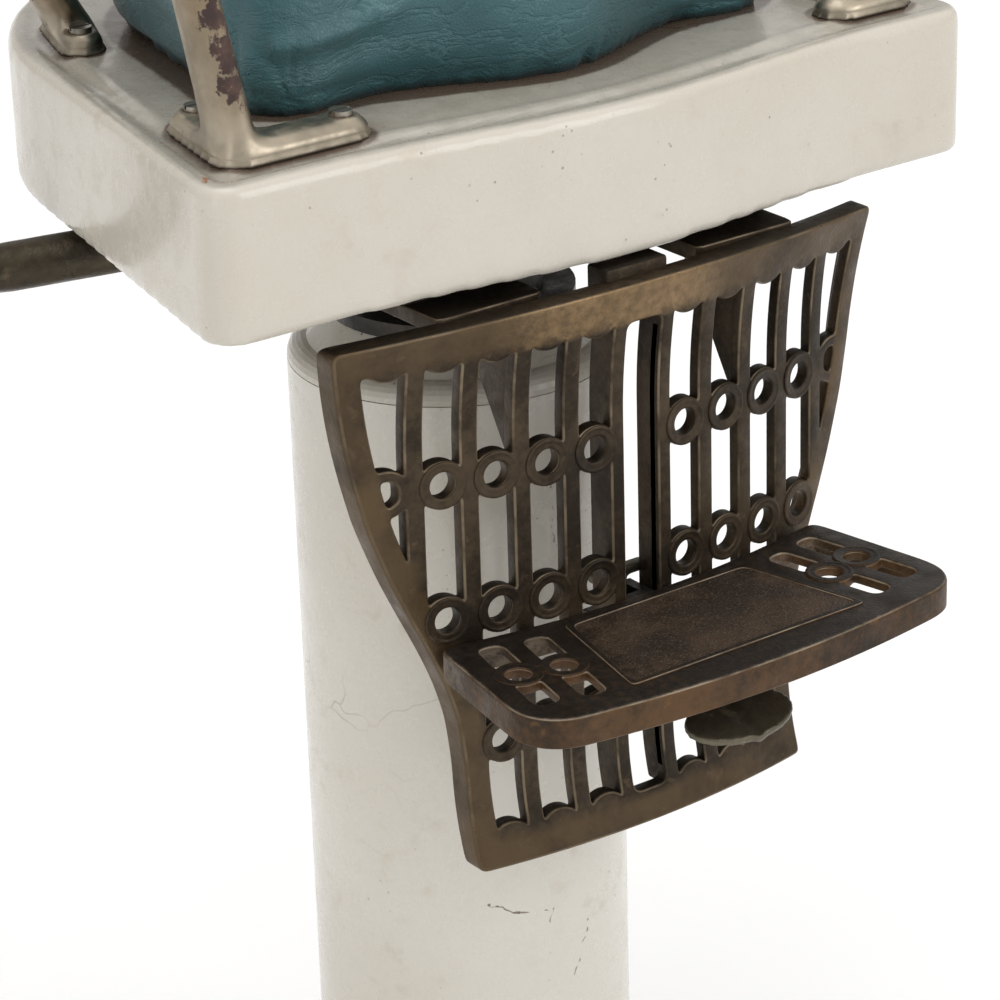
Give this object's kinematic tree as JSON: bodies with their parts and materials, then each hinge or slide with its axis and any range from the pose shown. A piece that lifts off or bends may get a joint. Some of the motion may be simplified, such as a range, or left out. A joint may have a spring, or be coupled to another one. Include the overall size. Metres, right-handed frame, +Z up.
{
  "type": "children's barber chair",
  "caption": "Child's pedestal barber chair: enamelled column and seat frame, plated arms, leaning back, and a pierced cast footrest with a sliding step.",
  "frame": {"origin": "on the floor, on the axis of the column", "axes": "+Z up, the sitter faces -Y, and +X is the sitter's left"},
  "size_m": [0.5175, 0.572, 1.1474],
  "materials": {
    "enamel_foot": "gloss enamel, worn",
    "enamel_column": "gloss enamel, crazed and scratched",
    "enamel_cap": "gloss enamel, worn",
    "enamel_seat": "gloss enamel, chipped to rust at the edges",
    "bolt_steel": "dull steel",
    "machined_steel": "machined steel",
    "bronze": "dull bronze",
    "cup_leather": "oiled leather",
    "black_iron": "black painted iron",
    "lever_iron": "dark worn iron",
    "board_wood": "bare plywood",
    "vinyl_seat": "creased vinyl",
    "vinyl_pad": "vinyl",
    "vinyl_back": "vinyl",
    "nickel_arm": "worn nickel plate",
    "nickel_back": "nickel plate",
    "arm_screw": "worn nickel plate",
    "grille_iron": "tarnished plated casting",
    "step_iron": "tarnished plated casting",
    "tab_metal": "worn plated tab"
  },
  "bodies": {
    "base": {"floor_foot": "enamel_foot", "column": "enamel_column", "column_bolts": "bolt_steel", "oil_cylinder": "machined_steel", "cylinder_bolt": "bolt_steel", "guide_gland": "bronze", "gland_screws": "bolt_steel"},
    "ram": {"ram": "machined_steel", "piston": "bronze", "piston_cup": "cup_leather", "lower_race": "machined_steel", "bearing_balls": "machined_steel"},
    "seat": {"upper_race": "machined_steel", "column_cap": "enamel_cap", "cap_screws": "bolt_steel", "seat_spider": "black_iron", "spider_bolts": "bolt_steel", "hub_cover": "black_iron", "cover_screws": "bolt_steel", "lever_pin": "machined_steel", "seat_frame": "enamel_seat", "seat_board": "board_wood", "seat_cushion": "vinyl_seat", "left_arm": "nickel_arm", "right_arm": "nickel_arm", "arm_screws": "arm_screw", "left_arm_pad": "vinyl_pad", "right_arm_pad": "vinyl_pad", "pad_screws": "arm_screw", "back_bracket": "nickel_back", "bracket_bolts": "arm_screw", "back_hinge_bolt": "nickel_back", "footrest_panel": "grille_iron", "panel_bolts": "bolt_steel"},
    "pump_lever": {"pump_lever": "lever_iron"},
    "pump_rod": {"pump_rod": "machined_steel"},
    "step": {"footplate": "step_iron", "guide_shoe": "black_iron", "shoe_screws": "bolt_steel", "latch_pin": "machined_steel", "latch_spring": "machined_steel"},
    "latch": {"latch_lever": "tab_metal"},
    "back": {"back_frame": "nickel_back", "back_board": "board_wood", "board_screws": "arm_screw", "back_cushion": "vinyl_back"},
    "headrest_stem": {"headrest_stem": "nickel_back", "headrest_pin": "nickel_back"},
    "thumbscrew": {"headrest_thumbscrew": "nickel_back"},
    "headrest": {"headrest_plate": "nickel_back", "headrest_cushion": "vinyl_back"}
  },
  "joints": [
    {"name": "seat_lift", "type": "slide", "parent": "base", "child": "ram", "axis": [0, 0, 1], "range_m": [0, 0.15]},
    {"name": "seat_swivel", "type": "hinge", "parent": "ram", "child": "seat", "pos_m": [0, 0, 0.55], "axis": [0, 0, 1], "continuous": true},
    {"name": "lever_pump", "type": "hinge", "parent": "seat", "child": "pump_lever", "pos_m": [-0.05749, 0.02323, 0.598], "axis": [-0.3746, -0.9272, 0], "range_deg": [0, 18], "stiffness_Nm_per_rad": 25, "springref_deg": -14.32},
    {"name": "rod_stroke", "type": "slide", "parent": "seat", "child": "pump_rod", "axis": [0, 0, 1], "range_m": [0, 0.0193]},
    {"name": "step_height", "type": "slide", "parent": "seat", "child": "step", "axis": [0, 0, 1], "range_m": [-0.055, 0.09]},
    {"name": "latch_tilt", "type": "hinge", "parent": "step", "child": "latch", "pos_m": [0, -0.148, 0.408], "axis": [-1, 0, 0], "range_deg": [0, 8], "stiffness_Nm_per_rad": 1.5, "springref_deg": -11.46, "deforming": ["latch_spring"]},
    {"name": "back_lean", "type": "hinge", "parent": "seat", "child": "back", "pos_m": [0.005, 0.217, 0.721], "axis": [-1, 0, 0], "range_deg": [0, 30]},
    {"name": "headrest_height", "type": "slide", "parent": "back", "child": "headrest_stem", "axis": [0, 0.1392, 0.9903], "range_m": [0, 0.07]},
    {"name": "thumbscrew_turn", "type": "hinge", "parent": "back", "child": "thumbscrew", "pos_m": [0.005, 0.29021, 0.99548], "axis": [0, 0.9903, -0.1392], "continuous": true},
    {"name": "headrest_tilt", "type": "hinge", "parent": "headrest_stem", "child": "headrest", "pos_m": [0.005, 0.29659, 1.10769], "axis": [1, 0, 0], "range_deg": [-25, 15]}
  ],
  "couplings": [
    {"joint": "rod_stroke", "follows": "lever_pump", "m_per_rad": 0.061}
  ]
}
